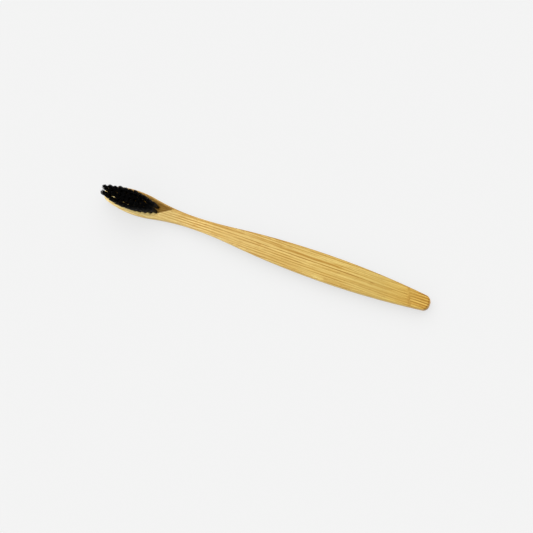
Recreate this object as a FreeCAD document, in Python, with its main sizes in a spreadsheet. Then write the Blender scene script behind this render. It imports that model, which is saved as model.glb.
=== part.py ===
import FreeCAD, Part
import math
import os
import Sketcher

# Manual toothbrush with a flat wooden handle. Millimetres, +X towards the toe of the head, +Z up
# through the bristles, origin under the middle of the flat back that the brush lies on.

SIZES = (
    # Handle seen from above
    ("overall_length", 185.0),
    ("tail_width", 7.0),
    ("tail_corner_radius", 3.1),
    ("grip_width", 14.2),
    ("grip_from_tail", 57.0),
    ("grip_arc_share", 0.71),
    ("neck_width", 6.4),
    ("neck_from_toe", 53.4),
    ("neck_arc_share", 0.69),
    ("head_width", 13.0),
    ("head_from_toe", 18.2),
    ("toe_radius", 4.3),
    # Handle seen from the side
    ("grip_thickness", 6.6),
    ("head_thickness", 5.0),
    ("taper_length", 34.0),
    ("taper_arc_share", 0.5),
    ("heel_margin", 4.3),
    ("edge_radius", 1.0),
    ("back_chamfer", 0.6),
    # Field of drilled holes
    ("toe_margin", 3.4),
    ("row_pitch", 2.85),
    ("field_half_width", 3.95),
    ("field_end_half_width", 1.35),
    ("hole_diameter", 1.6),
    ("hole_depth", 3.2),
    # Tufts and the metal anchors that hold them
    ("tuft_height", 11.0),
    ("tuft_clearance", 0.03),
    ("tip_gap", 0.1),
    ("tip_round_height", 0.5),
    ("tip_round_share", 0.78),
    ("groove_share", 0.86),
    ("fold_thickness", 0.7),
    ("anchor_height", 1.4),
    ("anchor_thickness", 0.3),
    ("anchor_bite", 0.15),
    ("anchor_turn", 45.0),
    # How far a blank or a cutting outline runs past the work
    ("overrun", 2.0),
)

# Tufts in each cross row, from the toe to the heel
TUFTS_IN_ROWS = (2, 3, 3, 4, 4, 4, 4, 4, 3, 3, 2)

# Places across a row as shares of its half width, +1 at the left with the toe pointing ahead
ACROSS_SHARES = {
    2: (("left", 1), ("right", -1)),
    3: (("left", 1), ("centre", 0), ("right", -1)),
    4: (("outer_left", 1), ("inner_left", 1 / 3), ("inner_right", -1 / 3), ("outer_right", -1)),
}

BUNDLE_LOBE_COUNT = 6

# Point numbers of a line or an arc in a sketch
START, END, CENTRE = range(1, 4)
# The sketch's own origin point, and its two axes
ORIGIN = (-1, START)
X_AXIS, Y_AXIS = range(-1, -3, -1)

# An arc of a loop that runs along X at its first corner, or at its last one
LEVEL_FIRST, LEVEL_LAST = "level first", "level last"


class Size:
    """A number that also carries the sheet formula that it comes from."""

    def __init__(self, value, formula):
        self.value = value
        self.formula = formula

    def __add__(self, other):
        return Size(self.value + value_of(other), f"({self.formula} + {formula_of(other)})")

    def __sub__(self, other):
        return Size(self.value - value_of(other), f"({self.formula} - {formula_of(other)})")

    def __mul__(self, other):
        return Size(self.value * value_of(other), f"({self.formula} * {formula_of(other)})")

    def __truediv__(self, other):
        return Size(self.value / value_of(other), f"({self.formula} / {formula_of(other)})")

    def __neg__(self):
        return Size(-self.value, f"(-1 * {self.formula})")


def value_of(number):
    return number.value if isinstance(number, Size) else number


def formula_of(number):
    return number.formula if isinstance(number, Size) else repr(number)


def cosine(angle):
    return Size(math.cos(math.radians(angle.value)), f"cos({angle.formula} * 1 deg)")


def sine(angle):
    return Size(math.sin(math.radians(angle.value)), f"sin({angle.formula} * 1 deg)")


def least(sizes):
    return Size(min(size.value for size in sizes), f"min({'; '.join(size.formula for size in sizes)})")


def between(first, second, share):
    """The point at a share of the way from one point to another."""
    return tuple(a + (b - a) * share for a, b in zip(first, second))


doc = FreeCAD.newDocument("toothbrush")
sheet = doc.addObject("Spreadsheet::Sheet", "dims")
for line, (alias, number) in enumerate(SIZES, start=1):
    sheet.set(f"A{line}", alias)
    sheet.set(f"B{line}", str(number))
    sheet.setAlias(f"B{line}", alias)
doc.recompute()


def dim(alias):
    return Size(float(sheet.get(alias)), f"dims.{alias}")


def bind(obj, path, size):
    obj.setExpression(path, size.formula)


def place(obj, x, y, z):
    """Ties an object's place to the sheet."""
    for axis, size in zip("xyz", (x, y, z)):
        if isinstance(size, Size):
            bind(obj, f"Placement.Base.{axis}", size)


# Sketches

def body_sketch(body, name, plane_role):
    """A sketch on one of the body's origin planes."""
    plane = next(item for item in body.Origin.OriginFeatures if item.Role == plane_role)
    sketch = body.newObject("Sketcher::SketchObject", name)
    sketch.AttachmentSupport = [(plane, "")]
    sketch.MapMode = "FlatFace"
    return sketch


def constrain(sketch, kind, *references, size=None):
    """Adds one constraint, and ties its value to the sheet when it has one."""
    if size is None:
        sketch.addConstraint(Sketcher.Constraint(kind, *references))
        return
    index = sketch.addConstraint(Sketcher.Constraint(kind, *references, size.value))
    bind(sketch, f"Constraints[{index}]", size)


def fix_point(sketch, point, place_xy):
    """Holds a sketch point at a place worked out from the sheet."""
    rules = (("DistanceX", Y_AXIS), ("DistanceY", X_AXIS))
    for (kind, zero_axis), size in zip(rules, place_xy):
        if not isinstance(size, Size):
            constrain(sketch, "PointOnObject", *point, zero_axis)
        elif size.value < 0:
            constrain(sketch, kind, *point, *ORIGIN, size=-size)
        else:
            constrain(sketch, kind, *ORIGIN, *point, size=size)


def arc_centre(first, last, run):
    """Centre of an arc through two points, on the X axis when its radius is given."""
    if isinstance(run, Size):
        return FreeCAD.Vector(first.x - math.sqrt(run.value ** 2 - first.y ** 2), 0, 0)
    level, far = (first, last) if run == LEVEL_FIRST else (last, first)
    rise = far.y - level.y
    radius = ((far.x - level.x) ** 2 + rise ** 2) / (2 * abs(rise))
    return FreeCAD.Vector(level.x, level.y + math.copysign(radius, rise), 0)


def arc_between(first, second, centre):
    """The short arc between two points, and which of its ends is the first point."""
    start, end = first - centre, second - centre
    forward = start.x * end.y - start.y * end.x > 0
    if not forward:
        start, end = end, start
    circle = Part.Circle(centre, FreeCAD.Vector(0, 0, 1), start.Length)
    arc = Part.ArcOfCircle(circle, math.atan2(start.y, start.x), math.atan2(end.y, end.x))
    return arc, (START, END) if forward else (END, START)


def draw_loop(sketch, corners, runs=None):
    """Draws a closed run of lines and arcs through corners that follow the sheet.

    The run that leaves a corner is a line (None), an arc level at one of its ends, or an arc of a
    given radius about the X axis.
    """
    runs = runs or [None] * len(corners)
    points = [FreeCAD.Vector(value_of(x), value_of(y), 0) for x, y in corners]
    drawn = []
    for first, last, run in zip(points, points[1:] + points[:1], runs):
        shape, ends = Part.LineSegment(first, last), (START, END)
        if run:
            shape, ends = arc_between(first, last, arc_centre(first, last, run))
        drawn.append((sketch.addGeometry(shape), *ends))
    followers = drawn[1:] + drawn[:1]
    for corner, run, (line, first, last), (next_line, next_first, _) in zip(corners, runs, drawn, followers):
        constrain(sketch, "Coincident", line, last, next_line, next_first)
        fix_point(sketch, (line, first), corner)
        if isinstance(run, Size):
            constrain(sketch, "Radius", line, size=run)
        elif run:
            constrain(sketch, "Vertical", line, CENTRE, line, first if run == LEVEL_FIRST else last)


# Handle: a strip planed to its side profile, cut to its outline, rounded and drilled

def side_profile_corners():
    """Corners of the strip seen from the side, from under the tail round to above it."""
    overrun = dim("overrun")
    past_toe = dim("overall_length") + overrun
    land_from_toe = dim("toe_margin") + dim("row_pitch") * (len(TUFTS_IN_ROWS) - 1) + dim("heel_margin")
    land_end = (dim("overall_length") - land_from_toe, dim("head_thickness"))
    grip_end = (land_end[0] - dim("taper_length"), dim("grip_thickness"))
    turn = between(grip_end, land_end, dim("taper_arc_share"))
    return (
        (-overrun, 0),
        (past_toe, 0),
        (past_toe, dim("head_thickness")),
        land_end,
        turn,
        grip_end,
        (-overrun, dim("grip_thickness")),
    )


def outline_corners():
    """One side of the outline seen from above, from the tail to where the toe's round begins."""
    tail = (0, dim("tail_width") / 2)
    grip = (dim("grip_from_tail"), dim("grip_width") / 2)
    neck = (dim("overall_length") - dim("neck_from_toe"), dim("neck_width") / 2)
    head = (dim("overall_length") - dim("head_from_toe"), dim("head_width") / 2)
    # The side of the toe is an arc level at the widest place that runs into the toe's round
    reach = dim("head_from_toe") - dim("toe_radius")
    half_width = head[1]
    toe_radius = dim("toe_radius")
    spread = reach * reach + half_width * half_width - toe_radius * toe_radius
    side_radius = spread / ((half_width - toe_radius) * 2)
    slant = toe_radius / (side_radius - toe_radius)
    toe_centre = dim("overall_length") - toe_radius
    toe = (toe_centre + reach * slant, (side_radius - half_width) * slant)
    return (
        tail,
        grip,
        between(grip, neck, dim("grip_arc_share")),
        neck,
        between(neck, head, dim("neck_arc_share")),
        head,
        toe,
    )


def rim_edges(shape, upper):
    """Names of the edges where the walls meet the top, or else the back."""
    names = []
    walls = [face for face in shape.Faces if abs(wall_normal(face).z) < abs(wall_normal(face).Length) / 2]
    middle = shape.BoundBox.Center.z
    for number, edge in enumerate(shape.Edges, start=1):
        on_wall = any(edge.isSame(other) for wall in walls for other in wall.Edges)
        if on_wall and not is_upright(edge) and (edge.CenterOfMass.z > middle) == upper:
            names.append(f"Edge{number}")
    return names


def wall_normal(face):
    first_u, last_u, first_v, last_v = face.ParameterRange
    return face.normalAt((first_u + last_u) / 2, (first_v + last_v) / 2)


def is_upright(edge):
    first, last = edge.Vertexes[0].Point, edge.Vertexes[-1].Point
    step = last - first
    return abs(step.z) > abs(step.x) + abs(step.y)


def tail_corner_edges(shape):
    """Names of the two upright edges at the square end of the tail."""
    leftmost = shape.BoundBox.XMin
    names = []
    for number, edge in enumerate(shape.Edges, start=1):
        at_tail = all(abs(vertex.X - leftmost) < shape.BoundBox.YLength / 100 for vertex in edge.Vertexes)
        if at_tail and is_upright(edge):
            names.append(f"Edge{number}")
    return names


def dress_edges(body, kind, name, edges, size):
    """Rounds edges of the body with a fillet, or breaks them with a chamfer."""
    base = body.Tip
    dressing = body.newObject(f"PartDesign::{kind}", name)
    dressing.Base = (base, edges)
    bind(dressing, "Radius" if kind == "Fillet" else "Size", size)
    doc.recompute()


def make_handle_blank():
    body = doc.addObject("PartDesign::Body", "handle_blank")

    profile = body_sketch(body, "side_profile", "XZ_Plane")
    bind(profile, "AttachmentOffset.Base.x", dim("overall_length") / -2)
    draw_loop(profile, side_profile_corners(), (None, None, None, LEVEL_FIRST, LEVEL_LAST, None, None))
    strip = body.newObject("PartDesign::Pad", "strip")
    strip.Profile = profile
    strip.SideType = "Symmetric"
    bind(strip, "Length", dim("grip_width") + dim("overrun") * 2)
    doc.recompute()

    outline = body_sketch(body, "outline", "XY_Plane")
    bind(outline, "AttachmentOffset.Base.x", dim("overall_length") / -2)
    left = outline_corners()
    right = tuple((x, -y) for x, y in reversed(left))
    side_runs = (LEVEL_LAST, LEVEL_FIRST) * (len(left) // 2)
    draw_loop(outline, left + right, (*side_runs, dim("toe_radius"), *side_runs, None))
    margin = dim("overrun") * 2
    far_x = dim("overall_length") + margin
    far_y = dim("grip_width") / 2 + margin
    draw_loop(outline, ((-margin, -far_y), (far_x, -far_y), (far_x, far_y), (-margin, far_y)))
    trim = body.newObject("PartDesign::Pocket", "outline_cut")
    trim.Profile = outline
    trim.Type = "ThroughAll"
    trim.Reversed = True
    doc.recompute()
    if not trim.Shape.Volume < strip.Shape.Volume:
        raise RuntimeError("the outline cut removed nothing")

    dress_edges(body, "Fillet", "tail_corners", tail_corner_edges(trim.Shape), tail_corner())
    dress_edges(body, "Fillet", "rounded_rim", rim_edges(body.Tip.Shape, upper=True), dim("edge_radius"))
    dress_edges(body, "Chamfer", "back_rim", rim_edges(body.Tip.Shape, upper=False), dim("back_chamfer"))
    return body


def tail_corner():
    """The tail's corner radius, which its own width limits."""
    return least((dim("tail_corner_radius"), dim("tail_width") / 2))


# Tuft field

def tuft_places():
    """Row number, name and place from above of each tuft, from the toe to the heel."""
    middle = (len(TUFTS_IN_ROWS) - 1) / 2
    toe_row = dim("overall_length") / 2 - dim("toe_margin")
    wide, narrow = dim("field_half_width"), dim("field_end_half_width")
    for row, count in enumerate(TUFTS_IN_ROWS):
        from_middle_share = (row - middle) / middle
        half_width = wide - (wide - narrow) * from_middle_share ** 2
        for side, across_share in ACROSS_SHARES[count]:
            name = f"row{row + 1:02d}_{side}"
            yield row + 1, name, toe_row - dim("row_pitch") * row, half_width * across_share


PLACES = tuple(tuft_places())


def least_tuft_spacing():
    """The narrowest step between neighbours, along the field or across a row."""
    steps = [dim("row_pitch")]
    for (row, _, _, first_y), (next_row, _, _, next_y) in zip(PLACES, PLACES[1:]):
        if row == next_row and row <= (len(TUFTS_IN_ROWS) + 1) / 2:
            steps.append(first_y - next_y)
    return least(steps)


def hole_bottom():
    return dim("head_thickness") - dim("hole_depth")


def drill_holes(body):
    holes = body_sketch(body, "hole_places", "XY_Plane")
    bind(holes, "AttachmentOffset.Base.z", dim("head_thickness"))
    radius = dim("hole_diameter") / 2
    for _, _, x, y in PLACES:
        centre = FreeCAD.Vector(x.value, value_of(y), 0)
        circle = holes.addGeometry(Part.Circle(centre, FreeCAD.Vector(0, 0, 1), radius.value))
        fix_point(holes, (circle, CENTRE), (x, y if y.value else 0))
        constrain(holes, "Radius", circle, size=radius)
    doc.recompute()
    solid_volume = body.Shape.Volume
    hole = body.newObject("PartDesign::Hole", "tuft_holes")
    hole.Profile = holes
    hole.ThreadType = "None"
    hole.DepthType = "Dimension"
    hole.DrillPoint = "Flat"
    bind(hole, "Diameter", dim("hole_diameter"))
    bind(hole, "Depth", dim("hole_depth"))
    doc.recompute()
    if not hole.Shape.Volume < solid_volume:
        raise RuntimeError("the tuft holes removed nothing")


# Anchors: blades of flat wire, a little wider than a hole, that bite into its wall on their way in

def make_blade(name, x, y, height):
    """A flat blade turned across the hole at a place, standing on the fold of its tuft."""
    width = dim("hole_diameter") + dim("anchor_bite") * 2
    thickness = dim("anchor_thickness")
    along, aside = cosine(dim("anchor_turn")), sine(dim("anchor_turn"))
    blade = doc.addObject("Part::Box", name)
    bind(blade, "Length", width)
    bind(blade, "Width", thickness)
    bind(blade, "Height", height)
    blade.Placement.Rotation = FreeCAD.Rotation(FreeCAD.Vector(0, 0, 1), value_of(dim("anchor_turn")))
    bind(blade, "Placement.Rotation.Angle", dim("anchor_turn"))
    corner_x = x - (width * along - thickness * aside) / 2
    corner_y = y - (width * aside + thickness * along) / 2
    place(blade, corner_x, corner_y, hole_bottom() + dim("fold_thickness"))
    return blade


def make_anchor_rows():
    rows = {}
    for row, name, x, y in PLACES:
        rows.setdefault(row, []).append(make_blade(f"anchor_{name}", x, y, dim("anchor_height")))
    groups = []
    for row, blades in rows.items():
        group = doc.addObject("Part::Compound", f"anchors_row{row:02d}")
        group.Links = blades
        groups.append(group)
    return groups


# Tufts: bundles of bristles folded under an anchor, which flare to rounded tips

def make_bundle_section(name, radius, height):
    """One cross-section of a bundle, with a lobe for each clump of bristles."""
    section = doc.addObject("Sketcher::SketchObject", name)
    corners = []
    for number in range(2 * BUNDLE_LOBE_COUNT):
        # Half a step of turn keeps every corner off the axes
        angle = math.pi * (number + 0.5) / BUNDLE_LOBE_COUNT
        reach = radius * dim("groove_share") if number % 2 else radius
        corners.append((reach * math.cos(angle), reach * math.sin(angle)))
    draw_loop(section, corners)
    bind(section, "Placement.Base.z", height)
    return section


def make_bundle():
    mouth_radius = dim("hole_diameter") / 2 - dim("tuft_clearance")
    tip_radius = (least_tuft_spacing() - dim("tip_gap")) / 2
    root = hole_bottom() + dim("tuft_clearance")
    mouth = dim("head_thickness")
    end = mouth + dim("tuft_height")
    tip = end - dim("tip_round_height")
    # The flare passes the mouth of the hole with the clearance that it has there
    root_radius = mouth_radius - (tip_radius - mouth_radius) * (mouth - root) / (tip - mouth)
    sections = [
        make_bundle_section("root_section", root_radius, root),
        make_bundle_section("tip_section", tip_radius, tip),
        make_bundle_section("end_section", tip_radius * dim("tip_round_share"), end),
    ]
    bundle = doc.addObject("Part::Loft", "bundle")
    bundle.Sections = sections
    bundle.Solid = True
    bundle.Ruled = True
    bundle.Linearize = True
    return bundle


def make_tufts():
    """One bundle, slotted for its anchor, set in every hole."""
    bundle = make_bundle()
    on_axis = Size(0, "0")
    slot = make_blade("anchor_slot", on_axis, on_axis, dim("anchor_height"))
    folded = doc.addObject("Part::Cut", "folded_bundle")
    folded.Base = bundle
    folded.Tool = slot
    tufts = []
    for _, name, x, y in PLACES:
        tuft = doc.addObject("Part::Compound", f"tuft_{name}")
        tuft.Links = [folded]
        place(tuft, x, y, None)
        tufts.append(tuft)
    return tufts


def make_handle():
    """The drilled handle, with the tracks that the anchors cut in the walls of its holes."""
    blank = make_handle_blank()
    drill_holes(blank)
    track_height = dim("hole_depth") - dim("fold_thickness") + dim("overrun")
    tracks = doc.addObject("Part::Compound", "anchor_tracks")
    tracks.Links = [make_blade(f"track_{name}", x, y, track_height) for _, name, x, y in PLACES]
    handle = doc.addObject("Part::Cut", "handle")
    handle.Base = blank
    handle.Tool = tracks
    return handle


def check_and_write(nodes):
    doc.recompute()
    for item in doc.Objects:
        if "Invalid" in item.State or "Error" in item.State:
            raise RuntimeError(f"{item.Label} failed to build")
    for node in nodes:
        if node.Shape.isNull() or not node.Shape.isValid():
            raise RuntimeError(f"{node.Label} has no valid shape")
    os.makedirs("parts", exist_ok=True)
    for node in nodes:
        node.Shape.exportStep(f"parts/{node.Label}.step")


anchor_rows = make_anchor_rows()
handle = make_handle()
tufts = make_tufts()
check_and_write([handle, *tufts, *anchor_rows])
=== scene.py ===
import math
import random

import bpy
from mathutils import Matrix, Vector


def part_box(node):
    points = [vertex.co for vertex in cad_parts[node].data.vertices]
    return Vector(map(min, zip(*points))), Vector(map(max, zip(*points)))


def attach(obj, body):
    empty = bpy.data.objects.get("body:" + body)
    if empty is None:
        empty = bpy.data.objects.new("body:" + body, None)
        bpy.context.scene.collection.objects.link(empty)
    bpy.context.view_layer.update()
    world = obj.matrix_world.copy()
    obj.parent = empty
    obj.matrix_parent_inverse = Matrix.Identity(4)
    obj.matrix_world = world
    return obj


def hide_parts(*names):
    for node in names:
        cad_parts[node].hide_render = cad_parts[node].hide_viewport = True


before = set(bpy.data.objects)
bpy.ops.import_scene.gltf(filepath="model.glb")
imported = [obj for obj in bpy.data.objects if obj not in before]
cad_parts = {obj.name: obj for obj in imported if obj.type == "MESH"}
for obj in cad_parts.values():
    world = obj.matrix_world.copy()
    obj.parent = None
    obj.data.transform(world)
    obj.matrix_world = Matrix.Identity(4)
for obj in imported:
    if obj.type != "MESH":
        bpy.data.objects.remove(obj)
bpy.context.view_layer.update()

# Manual toothbrush: a bamboo handle with 36 tufts of black nylon bristles. Metres, in the frame
# of the CAD model: +X towards the toe of the head, +Z up through the bristles.

MM = 0.001
SEED = 417

# Bristles: each filament goes down one side of its anchor, under it and up the other side
TUFT_KINDS = 4
HALF_TURN_CHANCE = 0.5
FILAMENT_SIDES = 5
FILAMENT_RADIUS = 0.095 * MM
FILAMENT_STEP = 0.152 * MM
LAYER_STEP = 0.132 * MM
FIRST_LAYER = 0.23 * MM
HOLE_REACH = 0.705 * MM
ANCHOR_TURN = math.radians(45)
ANCHOR_HALF_GAP = 0.14 * MM
QUARTER_TURN = math.radians(90)
HEAD_TOP = 5.0 * MM
FOLD_DEPTH_SHARE = 0.86
TIP_SPREAD_ALONG = 1.84
TIP_SPREAD_ASIDE = 2.3
TIP_JITTER = 0.08 * MM
MIDDLE_SPREAD_SHARE = 0.88
TIP_HEIGHT_JITTER = 0.12 * MM
TUFT_LEAN = 0.10 * MM
TIP_ROUND = 0.07 * MM
TIP_ROUND_SHARE = 0.55
FILAMENT_SMOOTH_ANGLE = math.radians(80)
TIP_FACE_UP = 0.95

# Handle
MERGE_DISTANCE = 0.0005 * MM
SMOOTH_ANGLE = math.radians(50)

# Bamboo: all its lengths and places are in millimetres.
# Streaks: length, width, threshold, softness and seed
BROAD_STREAKS = (150.0, 2.6, 0.40, 0.25, 3.1)
FIBRE_STREAKS = (50.0, 0.42, 0.50, 0.10, 7.7)
FINE_STREAKS = (26.0, 0.13, 0.48, 0.2, 1.9)
PALE_STREAKS = (60.0, 0.6, 0.52, 0.12, 5.3)
FLECK_STREAKS = (4.5, 0.17, 0.60, 0.08, 9.2)
BUNDLE_STREAKS = (24.0, 0.9, 0.38, 0.18, 4.7)
# Tints: strength and colour
BROAD_TINT = (0.5, (0.88, 0.83, 0.72))
BUNDLE_TINT = (1.0, (0.72, 0.57, 0.34))
TAIL_BUNDLE_TINT = (0.6, (0.72, 0.56, 0.32))
FIBRE_TINT = (0.6, (0.74, 0.6, 0.38))
FINE_TINT = (0.5, (0.8, 0.71, 0.55))
PALE_TINT = (0.8, (1.1, 1.13, 1.2))
FLECK_TINT = (0.7, (0.56, 0.4, 0.22))
KNOT_TINT = (0.5, (0.74, 0.58, 0.36))
# Painted shade on the rounded rim and sawn sides, partly their own deeper colour
RIM_SHADE_AND_GRAIN_TINT = (0.4, (0.92, 0.82, 0.62))
# Painted shade on the +Y side and its rim, strongest towards the tail
PAINTED_SHADE_SIDE_TINT = (1.0, (0.84, 0.8, 0.7))
CUT_FIBRE_TINT = (0.8, (0.62, 0.44, 0.24))
BOUNCE_TINT = (1.0, (0.2, 0.26, 0.5))
# Single lines of grain: place across the handle, width, strength and seed
GRAIN_LINES = (
    (-2.6, 0.4, 0.9, 1.3), (-6.0, 0.4, 0.4, 4.4), (-0.8, 0.28, 0.75, 8.2), (0.4, 0.25, 0.7, 3.9),
    (2.0, 0.28, 0.7, 2.6), (3.6, 0.25, 0.5, 7.1), (6.0, 0.7, 0.75, 6.5),
)
LINE_COLOUR = (0.76, 0.6, 0.34)
LINE_SWAY_PER_MM = 0.03
# Colours along the handle, the bamboo's own tone with painted light that is brighter at the neck and
# brightest at the toe: share of its length from the tail, and colour
LENGTH_TONES_AND_LIGHT = (
    (0.0, (0.79, 0.55, 0.13)), (0.15, (0.7, 0.52, 0.16)), (0.26, (0.79, 0.6, 0.2)),
    (0.56, (0.79, 0.58, 0.21)), (0.70, (0.89, 0.68, 0.27)), (0.79, (0.75, 0.57, 0.22)),
    (1.0, (0.95, 0.73, 0.3)),
)
LENGTH_RANGE = (-92.5, 92.5)
# The knot line across the tail, and the jump of the fibres beyond it
KNOT_FROM_MIDDLE = 81.5
KNOT_SLANT = 0.45
KNOT_SWAY = 1.6
KNOT_LINE = 0.6
KNOT_WIDTH = 1.1
FIBRE_JUMP = 3.7
FIBRE_WAVER = (0.0, 0.3, 0.3)
# Bundles of fibres
BUNDLE_ACROSS = (0.0, 1.0, 0.22)
BUNDLE_ALONG_SHARE = 0.02
# Share of the bundles and lines that shows in the plainer wood before the knot and at the head
PLAIN_SHARE = 0.45
# The sawn sides show the same grain through the thickness
SIDE_STRETCH = 1.3
SIDE_OFFSET = 30.0
# Share of the painted shade on the +Y side that is left at the head
SIDE_SHADE_HEAD_SHARE = 0.3
CUT_FIBRE_CELLS = (0.05, 1.5, 1.5)
# Ranges over which something sets in, from none of it to all of it
BEYOND_KNOT_RANGE = (1.0, 0.0)
KNOT_SHOWN_RANGE = (0.4, 0.6)
LINE_SHOWN_RANGE = (0.3, 0.6)
BUNDLE_RANGE = (0.45, 0.75)
NEAR_TAIL_RANGE = (-76.0, -88.0)
NEAR_HEAD_RANGE = (8.0, 30.0)
PLAIN_TAIL_RANGE = (-46.0, -60.0)
PLAIN_HEAD_RANGE = (46.0, 58.0)
TO_TAIL_RANGE = (35.0, -25.0)
SIDE_RANGE = (0.75, 0.45)
RIM_SHADE_AND_GRAIN_RANGE = (0.95, 0.3)
# Where the painted shade on the +Y side sets in, by the normal's Y
PAINTED_SHADE_SIDE_RANGE = (0.1, 0.6)
CUT_FIBRE_RANGE = (0.38, 0.2)
END_RANGE = (0.7, 0.95)
# Relief and sheen
PALE_RELIEF = 0.3
FIBRE_RELIEF = 0.6
FINE_RELIEF = 0.35
FLECK_RELIEF = 0.6
RELIEF_STRENGTH = 0.35
RELIEF_DEPTH = 0.03 * MM
BAMBOO_ROUGHNESS = (0.48, 0.62)
BAMBOO_SHEEN = 0.3

# Nylon and brass
NYLON_STREAKS = (30.0, 0.16, 0.4, 0.25, 2.2)
NYLON_DEEP = (0.0015, 0.0015, 0.0017)
NYLON_PALE = (0.005, 0.005, 0.0055)
DUST_STREAKS = (0.8, 0.12, 0.6, 0.1, 6.1)
DUST_STRENGTH = 0.25
DUST_COLOUR = (0.014, 0.014, 0.0145)
NYLON_ROUGHNESS = (0.42, 0.58)
NYLON_SHEEN = 0.1
BRASS_STREAKS = (4.0, 0.05, 0.4, 0.3, 3.8)
BRASS_BRIGHT = (0.80, 0.60, 0.29)
BRASS_DULL = (0.66, 0.46, 0.2)
BRASS_ROUGHNESS = (0.25, 0.42)

# Camera: where it stands as seen from the brush, and how the brush lies in the square picture
CAMERA_SIDE = Vector((-0.2437, 0.0866, 1)).normalized()
CAMERA_DISTANCE = 0.6
AIM_POINT = Vector((0, 0, 5 * MM))
PICTURE_WIDTH = 533
SENSOR_WIDTH = 36
FOCAL_PIXELS = 1147
HANDLE_SLOPE = math.radians(160.87)
AIM_PIXELS = (-5.41, 20.55)
NEAREST_SEEN = 0.01
FARTHEST_SEEN = 50

# Suns: the side each comes from, and how wide it is in the sky
KEY_LIGHT = {"side": (0.63, 0.44, 0.64), "strength": 4.1, "colour": (0.8, 0.9, 1.0), "degrees": 2.5}
FILL_LIGHT = {"side": (-0.45, -0.65, 0.6), "strength": 0.95, "colour": (1.0, 0.72, 0.36), "degrees": 60}
RIM_LIGHT = {"side": (-0.45, -0.9, 0.05), "strength": 0.95, "colour": (1.0, 0.95, 0.86), "degrees": 6}
FLOOR_LIGHT = {"side": (0.12, -0.42, 0.9), "strength": 2.05, "colour": (0.945, 1.0, 1.06), "degrees": 85}
FLOOR_DOME = {"side": (0, 0, 1), "strength": 0.95, "colour": (0.945, 1.0, 1.06), "degrees": 170}

# World and floor
WORLD_STRENGTH = 0.18
WORLD_COLOUR = (1.0, 0.74, 0.42)
BACKGROUND = 0.896
WHITE = (1, 1, 1)
FLOOR_SIZE = 8
FLOOR_DROP = 0.02 * MM
FLOOR_GLOW_SHARE = 0.71
FLOOR_ROUGHNESS = 0.9


def deselect():
    bpy.ops.object.select_all(action="DESELECT")


def pick(obj):
    """Makes one object the only one selected, and active."""
    deselect()
    obj.select_set(True)
    bpy.context.view_layer.objects.active = obj


def add_piece(piece, node):
    """Puts a finished piece on the brush in place of its CAD node."""
    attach(piece, "root")
    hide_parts(node)


# Node helpers

def add(tree, kind, inputs=None, **settings):
    """Adds a node with its settings, and sets or links its inputs."""
    node = tree.nodes.new(kind)
    for key, value in settings.items():
        setattr(node, key, value)
    for key, value in (inputs or {}).items():
        if isinstance(value, bpy.types.NodeSocket):
            tree.links.new(value, node.inputs[key])
        else:
            node.inputs[key].default_value = value
    return node


def compute(tree, operation, first, second=0.0):
    return add(tree, "ShaderNodeMath", {0: first, 1: second}, operation=operation).outputs[0]


def combine(tree, operation, first, second):
    """Adds, multiplies or divides two vectors."""
    return add(tree, "ShaderNodeVectorMath", {0: first, 1: second}, operation=operation).outputs[0]


def split(tree, vector):
    return add(tree, "ShaderNodeSeparateXYZ", {0: vector}).outputs


def join(tree, x=0.0, y=0.0, z=0.0):
    return add(tree, "ShaderNodeCombineXYZ", {0: x, 1: y, 2: z}).outputs[0]


def remap(tree, value, span, low=0.0, high=1.0, curve="LINEAR"):
    """Goes from a low value to a high one while a value crosses a span."""
    inputs = {"Value": value, "From Min": span[0], "From Max": span[1], "To Min": low, "To Max": high}
    return add(tree, "ShaderNodeMapRange", inputs, interpolation_type=curve).outputs[0]


def bell(tree, reach):
    """A soft peak of 1 where the reach is 0."""
    square = compute(tree, "MULTIPLY", reach, reach)
    return compute(tree, "POWER", math.e, compute(tree, "MULTIPLY", square, -1))


def mix_value(tree, share, first, second):
    return add(tree, "ShaderNodeMix", {0: share, 2: first, 3: second}).outputs[0]


def mix_colour(tree, share, first, second, blend="MIX"):
    first, second = (
        colour if isinstance(colour, bpy.types.NodeSocket) else (*colour, 1) for colour in (first, second)
    )
    inputs = {0: share, 6: first, 7: second}
    return add(tree, "ShaderNodeMix", inputs, data_type="RGBA", blend_type=blend).outputs[2]


def tint(tree, colour, mask, strength, tint_colour):
    """Multiplies a colour by a tint where a mask is set."""
    share = compute(tree, "MULTIPLY", mask, strength)
    return mix_colour(tree, share, colour, tint_colour, "MULTIPLY")


def new_group(name, inputs, outputs):
    group = bpy.data.node_groups.new(name, "ShaderNodeTree")
    for side, sockets in (("INPUT", inputs), ("OUTPUT", outputs)):
        for socket_name, kind in sockets:
            group.interface.new_socket(socket_name, in_out=side, socket_type=f"NodeSocket{kind}")
    given = group.nodes.new("NodeGroupInput").outputs
    result = group.nodes.new("NodeGroupOutput").inputs
    return group, given, result


def new_material(name):
    material = bpy.data.materials.new(name)
    material.use_nodes = True
    tree = material.node_tree
    shader = tree.nodes["Principled BSDF"]
    return material, tree, shader


def point_in_mm(tree):
    """The point on the piece in millimetres."""
    place = add(tree, "ShaderNodeTexCoord").outputs["Object"]
    return add(tree, "ShaderNodeVectorMath", {0: place, "Scale": 1 / MM}, operation="SCALE").outputs[0]


def seen_mask(tree):
    """1 for what the camera sees, also in a mirror or through glass."""
    path = add(tree, "ShaderNodeLightPath").outputs
    seen = compute(tree, "MAXIMUM", path["Is Camera Ray"], path["Is Glossy Ray"])
    return compute(tree, "MAXIMUM", seen, path["Is Transmission Ray"])


# Effects that the materials share

STREAK_SIZES = ("Length", "Width", "Threshold", "Softness", "Seed")
LINE_SIZES = ("Place", "Width", "Seed")


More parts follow.
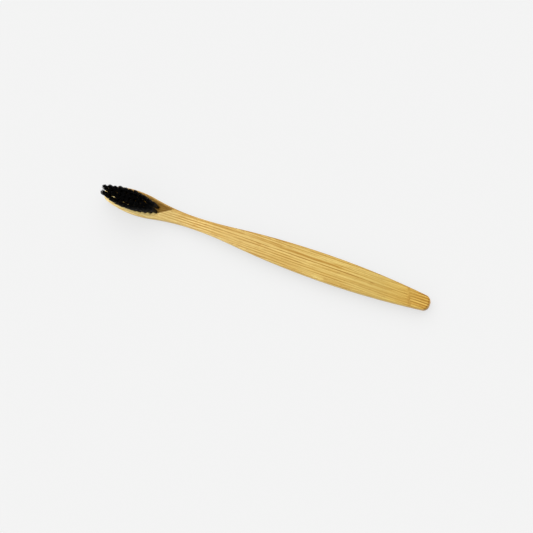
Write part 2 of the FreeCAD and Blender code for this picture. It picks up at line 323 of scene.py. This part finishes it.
def make_streaks_group():
    """Streaks along X: noise drawn out to a length and a width, cut to a soft mask."""
    inputs = [("Point", "Vector"), *((name, "Float") for name in STREAK_SIZES)]
    group, given, result = new_group("streaks along the grain", inputs, [("Mask", "Float")])
    cell = join(group, given["Length"], given["Width"], given["Width"])
    drawn = combine(group, "DIVIDE", given["Point"], cell)
    moved = combine(group, "ADD", drawn, join(group, given["Seed"], given["Seed"], given["Seed"]))
    noise = add(group, "ShaderNodeTexNoise", {"Vector": moved, "Scale": 1.0, "Detail": 2.0}).outputs[0]
    top = compute(group, "ADD", given["Threshold"], given["Softness"])
    mask = remap(group, noise, (given["Threshold"], top), curve="SMOOTHSTEP")
    group.links.new(mask, result["Mask"])
    return group


def make_line_group():
    """One soft line of darker grain along X at a place across the handle."""
    inputs = [("Point", "Vector"), *((name, "Float") for name in LINE_SIZES)]
    group, given, result = new_group("single line of grain", inputs, [("Mask", "Float")])
    parts = split(group, given["Point"])
    along = compute(group, "ADD", compute(group, "MULTIPLY", parts[0], LINE_SWAY_PER_MM), given["Seed"])

    def noise(scale, detail):
        inputs = {"W": along, "Scale": scale, "Detail": detail}
        return add(group, "ShaderNodeTexNoise", inputs, noise_dimensions="1D").outputs[0]

    sway = compute(group, "SUBTRACT", noise(scale=1.0, detail=1.0), 0.5)
    offset = compute(group, "ADD", compute(group, "SUBTRACT", parts[1], given["Place"]), sway)
    line = bell(group, compute(group, "DIVIDE", offset, given["Width"]))
    shown = remap(group, noise(scale=2.3, detail=2.0), LINE_SHOWN_RANGE)
    group.links.new(compute(group, "MULTIPLY", line, shown), result["Mask"])
    return group


streaks = make_streaks_group()
grain_line = make_line_group()


def place_streaks(tree, point, sizes):
    inputs = {"Point": point, **dict(zip(STREAK_SIZES, sizes))}
    return add(tree, "ShaderNodeGroup", inputs, node_tree=streaks).outputs[0]


def place_line(tree, point, sizes):
    inputs = {"Point": point, **dict(zip(LINE_SIZES, sizes))}
    return add(tree, "ShaderNodeGroup", inputs, node_tree=grain_line).outputs[0]


# Bamboo

def length_tone_and_light(tree, x):
    """The colour along the handle: the bare bamboo's own tone, with painted light that is brighter at the
    neck and brightest at the toe.
    """
    node = add(tree, "ShaderNodeValToRGB", {0: remap(tree, x, LENGTH_RANGE)})
    ramp = node.color_ramp
    while len(ramp.elements) < len(LENGTH_TONES_AND_LIGHT):
        ramp.elements.new(0.5)
    for element, (place, colour) in zip(ramp.elements, LENGTH_TONES_AND_LIGHT):
        element.position = place
        element.color = (*colour, 1)
    return node.outputs[0]


def bundle_mask(tree, grain):
    """Bundles of fibres, which lie side by side."""
    across = add(tree, "ShaderNodeVectorMath", {0: grain, 1: BUNDLE_ACROSS}, operation="DOT_PRODUCT")
    along = compute(tree, "MULTIPLY", split(tree, grain)[0], BUNDLE_ALONG_SHARE)
    place = join(tree, along, across.outputs["Value"])
    lines = add(
        tree, "ShaderNodeTexWave",
        {"Vector": place, "Scale": 0.25, "Distortion": 2.4, "Detail": 2.0, "Detail Scale": 1.2},
        wave_type="BANDS", bands_direction="Y", wave_profile="SIN",
    )
    return remap(tree, lines.outputs["Fac"], BUNDLE_RANGE)


def make_grain_group():
    """Colour and relief of bamboo at a point in millimetres, with its fibres along X."""
    outputs = [("Colour", "Color"), ("Height", "Float"), ("Fibres", "Float")]
    tree, given, result = new_group("bamboo grain", [("Point", "Vector")], outputs)
    point = given["Point"]
    parts = split(tree, point)

    # The knot line crosses the tail at a slant, and the grain beyond it is another run of fibres
    sway = add(tree, "ShaderNodeTexNoise", {"Vector": point, "Scale": 0.35, "Detail": 3.0}).outputs[0]
    from_knot = compute(tree, "ADD", parts[0], KNOT_FROM_MIDDLE)
    from_knot = compute(tree, "ADD", from_knot, compute(tree, "MULTIPLY", parts[1], KNOT_SLANT))
    from_knot = compute(tree, "ADD", from_knot, compute(tree, "MULTIPLY", sway, KNOT_SWAY))
    beyond = remap(tree, from_knot, BEYOND_KNOT_RANGE)
    knot = bell(tree, compute(tree, "DIVIDE", compute(tree, "SUBTRACT", from_knot, KNOT_LINE), KNOT_WIDTH))
    knot = compute(tree, "MULTIPLY", knot, remap(tree, sway, KNOT_SHOWN_RANGE))
    jump = join(tree, y=compute(tree, "MULTIPLY", beyond, FIBRE_JUMP))
    waver = add(tree, "ShaderNodeTexNoise", {"Vector": point, "Scale": 0.03, "Detail": 1.0})
    waver = combine(tree, "MULTIPLY", waver.outputs["Color"], FIBRE_WAVER)
    grain = combine(tree, "ADD", combine(tree, "ADD", point, jump), waver)

    broad = place_streaks(tree, grain, BROAD_STREAKS)
    fibres = place_streaks(tree, grain, FIBRE_STREAKS)
    fine = place_streaks(tree, grain, FINE_STREAKS)
    pale = place_streaks(tree, grain, PALE_STREAKS)
    flecks = place_streaks(tree, grain, FLECK_STREAKS)

    # The bundles break off and start again, except near the ends
    near_tail = remap(tree, parts[0], NEAR_TAIL_RANGE)
    near_ends = compute(tree, "MAXIMUM", near_tail, remap(tree, parts[0], NEAR_HEAD_RANGE))
    shown = compute(tree, "MAXIMUM", place_streaks(tree, grain, BUNDLE_STREAKS), near_ends)
    bundles = compute(tree, "MULTIPLY", bundle_mask(tree, grain), shown)
    # The wood before the knot and at the head is plainer
    plain = compute(tree, "SUBTRACT", remap(tree, parts[0], PLAIN_TAIL_RANGE), near_tail)
    plain = compute(tree, "MAXIMUM", plain, remap(tree, parts[0], PLAIN_HEAD_RANGE))
    clear = remap(tree, plain, (0, 1), low=1.0, high=PLAIN_SHARE)
    bundles = compute(tree, "MULTIPLY", bundles, clear)

    # Partly painted light: the colour along the handle is brighter at the neck and brightest at the toe
    colour = length_tone_and_light(tree, parts[0])
    colour = tint(tree, colour, broad, *BROAD_TINT)
    colour = tint(tree, colour, bundles, *BUNDLE_TINT)
    colour = tint(tree, colour, compute(tree, "MULTIPLY", bundles, near_tail), *TAIL_BUNDLE_TINT)
    colour = tint(tree, colour, fibres, *FIBRE_TINT)
    colour = tint(tree, colour, fine, *FINE_TINT)
    colour = tint(tree, colour, pale, *PALE_TINT)
    colour = tint(tree, colour, flecks, *FLECK_TINT)
    for place, width, strength, seed in GRAIN_LINES:
        line = place_line(tree, grain, (place, width, seed))
        colour = tint(tree, colour, compute(tree, "MULTIPLY", line, clear), strength, LINE_COLOUR)
    colour = tint(tree, colour, knot, *KNOT_TINT)

    height = compute(tree, "MULTIPLY", pale, PALE_RELIEF)
    for mask, depth in ((fibres, FIBRE_RELIEF), (fine, FINE_RELIEF), (flecks, FLECK_RELIEF)):
        height = compute(tree, "SUBTRACT", height, compute(tree, "MULTIPLY", mask, depth))
    for name, value in (("Colour", colour), ("Height", height), ("Fibres", fibres)):
        tree.links.new(value, result[name])
    return tree


def make_bamboo():
    material, tree, shader = new_material("sanded bamboo")
    point = point_in_mm(tree)
    parts = split(tree, point)
    normal = split(tree, add(tree, "ShaderNodeNewGeometry").outputs["Normal"])

    # The planed faces show the fibres across the strip, the sawn sides show them through its thickness
    through = compute(tree, "ADD", compute(tree, "MULTIPLY", parts[2], SIDE_STRETCH), SIDE_OFFSET)
    grain = make_grain_group()
    top = add(tree, "ShaderNodeGroup", {"Point": point}, node_tree=grain).outputs
    side = add(tree, "ShaderNodeGroup", {"Point": join(tree, parts[0], through)}, node_tree=grain).outputs
    level = compute(tree, "ABSOLUTE", normal[2])
    on_side = remap(tree, level, SIDE_RANGE)
    colour = mix_colour(tree, on_side, top["Colour"], side["Colour"])
    height = mix_value(tree, on_side, top["Height"], side["Height"])
    fibres = mix_value(tree, on_side, top["Fibres"], side["Fibres"])

    # Painted shade, partly the sawn sides' own deeper colour: the rounded rim and the sawn sides are
    # darkened where they turn away from the top, and the +Y side more so towards the tail, as painted
    # shade alone
    # Painted shade by slope on the rim and sides, partly their own deeper colour
    colour = tint(tree, colour, remap(tree, level, RIM_SHADE_AND_GRAIN_RANGE), *RIM_SHADE_AND_GRAIN_TINT)
    # Painted shade on the +Y side, fading to a share of it towards the head
    to_tail = remap(tree, parts[0], TO_TAIL_RANGE, low=SIDE_SHADE_HEAD_SHARE)
    painted_side_shade = compute(tree, "MULTIPLY", remap(tree, normal[1], PAINTED_SHADE_SIDE_RANGE), to_tail)
    colour = tint(tree, colour, painted_side_shade, *PAINTED_SHADE_SIDE_TINT)

    # The ends show the cut fibres as dots
    cut_place = combine(tree, "MULTIPLY", point, CUT_FIBRE_CELLS)
    cells = add(tree, "ShaderNodeTexVoronoi", {"Vector": cut_place, "Scale": 1.0}).outputs["Distance"]
    at_end = remap(tree, compute(tree, "ABSOLUTE", normal[0]), END_RANGE)
    dots = compute(tree, "MULTIPLY", remap(tree, cells, CUT_FIBRE_RANGE), at_end)
    colour = tint(tree, colour, dots, *CUT_FIBRE_TINT)

    # The floor takes hardly any colour from the handle
    bounced = add(tree, "ShaderNodeLightPath").outputs["Is Diffuse Ray"]
    colour = tint(tree, colour, bounced, *BOUNCE_TINT)

    relief = {"Strength": RELIEF_STRENGTH, "Distance": RELIEF_DEPTH, "Height": height}
    tree.links.new(colour, shader.inputs["Base Color"])
    tree.links.new(remap(tree, fibres, (0, 1), *BAMBOO_ROUGHNESS), shader.inputs["Roughness"])
    tree.links.new(add(tree, "ShaderNodeBump", relief).outputs[0], shader.inputs["Normal"])
    shader.inputs["Specular IOR Level"].default_value = BAMBOO_SHEEN
    return material


# Nylon and brass

def make_nylon():
    material, tree, shader = new_material("black nylon bristles")
    # Filaments stand along Z, so their streaks do too
    turn = {0: point_in_mm(tree), "Rotation": (0, QUARTER_TURN, 0)}
    turned = add(tree, "ShaderNodeMapping", turn).outputs[0]
    tones = place_streaks(tree, turned, NYLON_STREAKS)
    dust = compute(tree, "MULTIPLY", place_streaks(tree, turned, DUST_STREAKS), DUST_STRENGTH)
    colour = mix_colour(tree, tones, NYLON_DEEP, NYLON_PALE)
    colour = mix_colour(tree, dust, colour, DUST_COLOUR)
    tree.links.new(colour, shader.inputs["Base Color"])
    tree.links.new(remap(tree, tones, (0, 1), *NYLON_ROUGHNESS), shader.inputs["Roughness"])
    shader.inputs["Specular IOR Level"].default_value = NYLON_SHEEN
    return material


def make_brass():
    material, tree, shader = new_material("rolled brass wire")
    drawn = place_streaks(tree, point_in_mm(tree), BRASS_STREAKS)
    tree.links.new(mix_colour(tree, drawn, BRASS_BRIGHT, BRASS_DULL), shader.inputs["Base Color"])
    tree.links.new(remap(tree, drawn, (0, 1), *BRASS_ROUGHNESS), shader.inputs["Roughness"])
    shader.inputs["Metallic"].default_value = 1.0
    return material


# Handle

def make_handle(bamboo):
    """A merged copy of the CAD handle, shaded smooth over its rounded rim."""
    handle = bpy.data.objects.new("bamboo_handle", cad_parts["handle"].data.copy())
    bpy.context.scene.collection.objects.link(handle)
    pick(handle)
    bpy.ops.object.mode_set(mode="EDIT")
    bpy.ops.mesh.select_all(action="SELECT")
    bpy.ops.mesh.remove_doubles(threshold=MERGE_DISTANCE)
    bpy.ops.object.mode_set(mode="OBJECT")
    bpy.ops.object.shade_smooth_by_angle(angle=SMOOTH_ANGLE)
    bpy.ops.object.modifier_add(type="WEIGHTED_NORMAL")
    handle.modifiers[-1].keep_sharp = True
    bpy.ops.object.modifier_apply(modifier=handle.modifiers[-1].name)
    handle.data.materials.clear()
    handle.data.materials.append(bamboo)
    add_piece(handle, "handle")
    return handle


# Anchors

def finish_anchors(brass):
    """Gives the CAD anchors, whose shape is right, their brass."""
    rows = [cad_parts[name] for name in sorted(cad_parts) if name.startswith("anchors_")]
    for blades in rows:
        blades.data.materials.clear()
        blades.data.materials.append(brass)
    return rows


# Bristles

def filament_places():
    """Where the filaments lie in a hole: along the anchor, and out from its middle plane."""
    places = []
    layer = 0
    while FIRST_LAYER + layer * LAYER_STEP <= HOLE_REACH:
        out = FIRST_LAYER + layer * LAYER_STEP
        start = (layer % 2) / 2
        count = int(HOLE_REACH / FILAMENT_STEP) + 1
        for number in range(-count, count + 1):
            along = (number + start) * FILAMENT_STEP
            if math.hypot(along, out) <= HOLE_REACH:
                places.append((along, out))
        layer += 1
    return places


def filament_points(along, out, heights, lean, chance):
    """Points of one folded filament from tip to tip, with its width and the turn of its section there."""
    anchor_low, mouth, tip = heights
    legs = []
    for side in (1, -1):
        aside = side * (out - ANCHOR_HALF_GAP)
        end = Vector((along * TIP_SPREAD_ALONG, aside * TIP_SPREAD_ASIDE, tip))
        end += Vector((chance.gauss(0, TIP_JITTER), chance.gauss(0, TIP_JITTER), 0)) + lean
        end.z -= abs(chance.gauss(0, TIP_HEIGHT_JITTER))
        root = Vector((along, aside, mouth))
        middle = root.lerp(end, MIDDLE_SPREAD_SHARE)
        middle.z = (mouth + tip) / 2
        middle += Vector((chance.gauss(0, TIP_JITTER), chance.gauss(0, TIP_JITTER), 0)) / 2
        shoulder = end - (end - middle).normalized() * TIP_ROUND
        legs.append([
            (end, TIP_ROUND_SHARE, 0),
            (shoulder, 1, 0),
            (middle, 1, 0),
            (root, 1, 0),
            (Vector((along, side * out, anchor_low)), 1, 0),
        ])
    fold = (Vector((along, 0, anchor_low - out * FOLD_DEPTH_SHARE)), 1, QUARTER_TURN)
    (low_place, low_width, _), *up = legs[1][::-1]
    return legs[0] + [fold, (low_place, low_width, QUARTER_TURN)] + up


def extrude_filament(points):
    """Extrudes one filament through its points, in edit mode."""
    bpy.ops.mesh.select_all(action="DESELECT")
    place, width, _ = points[0]
    bpy.ops.mesh.primitive_circle_add(
        vertices=FILAMENT_SIDES, radius=FILAMENT_RADIUS * width, fill_type="NGON", location=place
    )
    for next_place, next_width, turn in points[1:]:
        bpy.ops.mesh.extrude_region_move(TRANSFORM_OT_translate={"value": next_place - place})
        if turn:
            bpy.ops.transform.rotate(value=turn, orient_axis="X", center_override=next_place)
        if next_width != width:
            bpy.ops.transform.resize(value=[next_width / width] * 3, center_override=next_place)
        place, width = next_place, next_width


def make_tuft_master(number, heights, nylon):
    """One tuft of folded filaments, standing at the origin, to be copied to the holes."""
    chance = random.Random(f"{SEED} {number}")
    lean = Vector((chance.gauss(0, TUFT_LEAN), chance.gauss(0, TUFT_LEAN), 0))
    deselect()
    bpy.ops.object.add(type="MESH")
    master = bpy.context.object
    bpy.ops.object.mode_set(mode="EDIT")
    for along, out in filament_places():
        extrude_filament(filament_points(along, out, heights, lean, chance))
    bpy.ops.mesh.select_all(action="SELECT")
    bpy.ops.mesh.normals_make_consistent(inside=False)
    bpy.ops.mesh.select_all(action="DESELECT")
    bpy.ops.mesh.select_mode(type="FACE")
    bpy.ops.object.mode_set(mode="OBJECT")
    bpy.ops.object.shade_smooth_by_angle(angle=FILAMENT_SMOOTH_ANGLE)
    # The filaments are round, and the faces at their tips are flat
    for face in master.data.polygons:
        face.select = face.normal.z > TIP_FACE_UP
    bpy.ops.object.mode_set(mode="EDIT")
    bpy.ops.mesh.faces_shade_flat()
    bpy.ops.object.mode_set(mode="OBJECT")
    master.data.materials.append(nylon)
    return master


def set_tuft(master, node, half_turn):
    """Copies a tuft into the hole of its CAD node, with its fold across the anchor."""
    low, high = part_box(node)
    pick(master)
    bpy.ops.object.duplicate(linked=False)
    tuft = bpy.context.object
    tuft.name = node.replace("tuft_", "bristles_")
    tuft.data.name = tuft.name
    tuft.location = ((low.x + high.x) / 2, (low.y + high.y) / 2, 0)
    tuft.rotation_euler.z = ANCHOR_TURN + (math.pi if half_turn else 0)
    bpy.ops.object.transform_apply(location=True, rotation=True, scale=False)
    add_piece(tuft, node)
    return tuft


def make_tufts(nylon):
    nodes = sorted(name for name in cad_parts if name.startswith("tuft_"))
    _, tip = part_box(nodes[0])
    fold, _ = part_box("anchors_row01")
    heights = (fold.z, HEAD_TOP, tip.z)
    masters = [make_tuft_master(number, heights, nylon) for number in range(TUFT_KINDS)]
    chance = random.Random(SEED)
    tufts = [set_tuft(chance.choice(masters), node, chance.random() < HALF_TURN_CHANCE) for node in nodes]
    for master in masters:
        pick(master)
        bpy.ops.object.delete()
    return tufts


# Stage

def make_floor():
    material, tree, shader = new_material("pale paper floor")
    paper = (BACKGROUND, BACKGROUND, BACKGROUND, 1)
    shader.inputs["Base Color"].default_value = paper
    shader.inputs["Roughness"].default_value = FLOOR_ROUGHNESS
    shader.inputs["Specular IOR Level"].default_value = 0.0
    glow = add(tree, "ShaderNodeEmission", {"Color": paper, "Strength": 1.0})
    share = compute(tree, "MULTIPLY", seen_mask(tree), FLOOR_GLOW_SHARE)
    mix = add(tree, "ShaderNodeMixShader", {0: share, 1: shader.outputs[0], 2: glow.outputs[0]})
    tree.links.new(mix.outputs[0], tree.nodes["Material Output"].inputs["Surface"])
    deselect()
    bpy.ops.mesh.primitive_plane_add(size=FLOOR_SIZE, location=(0, 0, -FLOOR_DROP))
    floor = bpy.context.object
    floor.name = "paper_floor"
    floor.data.materials.append(material)
    return floor


def make_world():
    world = bpy.data.worlds.new("plain studio")
    bpy.context.scene.world = world
    world.use_nodes = True
    tree = world.node_tree
    seen = seen_mask(tree)
    sky = tree.nodes["Background"]
    tree.links.new(mix_colour(tree, seen, WORLD_COLOUR, WHITE), sky.inputs["Color"])
    tree.links.new(remap(tree, seen, (0, 1), WORLD_STRENGTH, BACKGROUND), sky.inputs["Strength"])


def make_sun(name, receivers, side, strength, colour, degrees):
    """A sun that lights only the given objects."""
    lamp = bpy.data.lights.new(name, "SUN")
    lamp.energy = strength
    lamp.color = colour
    lamp.angle = math.radians(degrees)
    sun = bpy.data.objects.new(name, lamp)
    sun.rotation_euler = Vector(side).normalized().to_track_quat("Z", "Y").to_euler()
    bpy.context.scene.collection.objects.link(sun)
    lit = bpy.data.collections.new(f"{name} receivers")
    for obj in receivers:
        lit.objects.link(obj)
    sun.light_linking.receiver_collection = lit


def make_camera():
    along = (Vector((1, 0, 0)) - CAMERA_SIDE * CAMERA_SIDE.x).normalized()
    aside = CAMERA_SIDE.cross(along)
    right = along * math.cos(HANDLE_SLOPE) - aside * math.sin(HANDLE_SLOPE)
    up = along * math.sin(HANDLE_SLOPE) + aside * math.cos(HANDLE_SLOPE)
    # The aim point lies off the middle of the picture, so the camera turns a little away from it
    aside_turn = Vector((0, 0, -1)).rotation_difference(Vector((*AIM_PIXELS, -FOCAL_PIXELS)))
    turn = Matrix((right, up, CAMERA_SIDE)).transposed() @ aside_turn.inverted().to_matrix()
    lens = bpy.data.cameras.new("camera")
    lens.sensor_width = SENSOR_WIDTH
    lens.lens = SENSOR_WIDTH * FOCAL_PIXELS / PICTURE_WIDTH
    lens.clip_start = NEAREST_SEEN
    lens.clip_end = FARTHEST_SEEN
    camera = bpy.data.objects.new("camera", lens)
    camera.matrix_world = Matrix.Translation(AIM_POINT + CAMERA_SIDE * CAMERA_DISTANCE) @ turn.to_4x4()
    bpy.context.scene.collection.objects.link(camera)
    bpy.context.scene.camera = camera


pieces = [make_handle(make_bamboo()), *make_tufts(make_nylon()), *finish_anchors(make_brass())]

floor = make_floor()
make_world()
make_sun("key_light", pieces, **KEY_LIGHT)
make_sun("fill_light", pieces, **FILL_LIGHT)
make_sun("rim_light", pieces, **RIM_LIGHT)
make_sun("floor_light", [floor], **FLOOR_LIGHT)
make_sun("floor_dome", [floor], **FLOOR_DOME)
make_camera()
bpy.context.scene.view_settings.view_transform = "Standard"
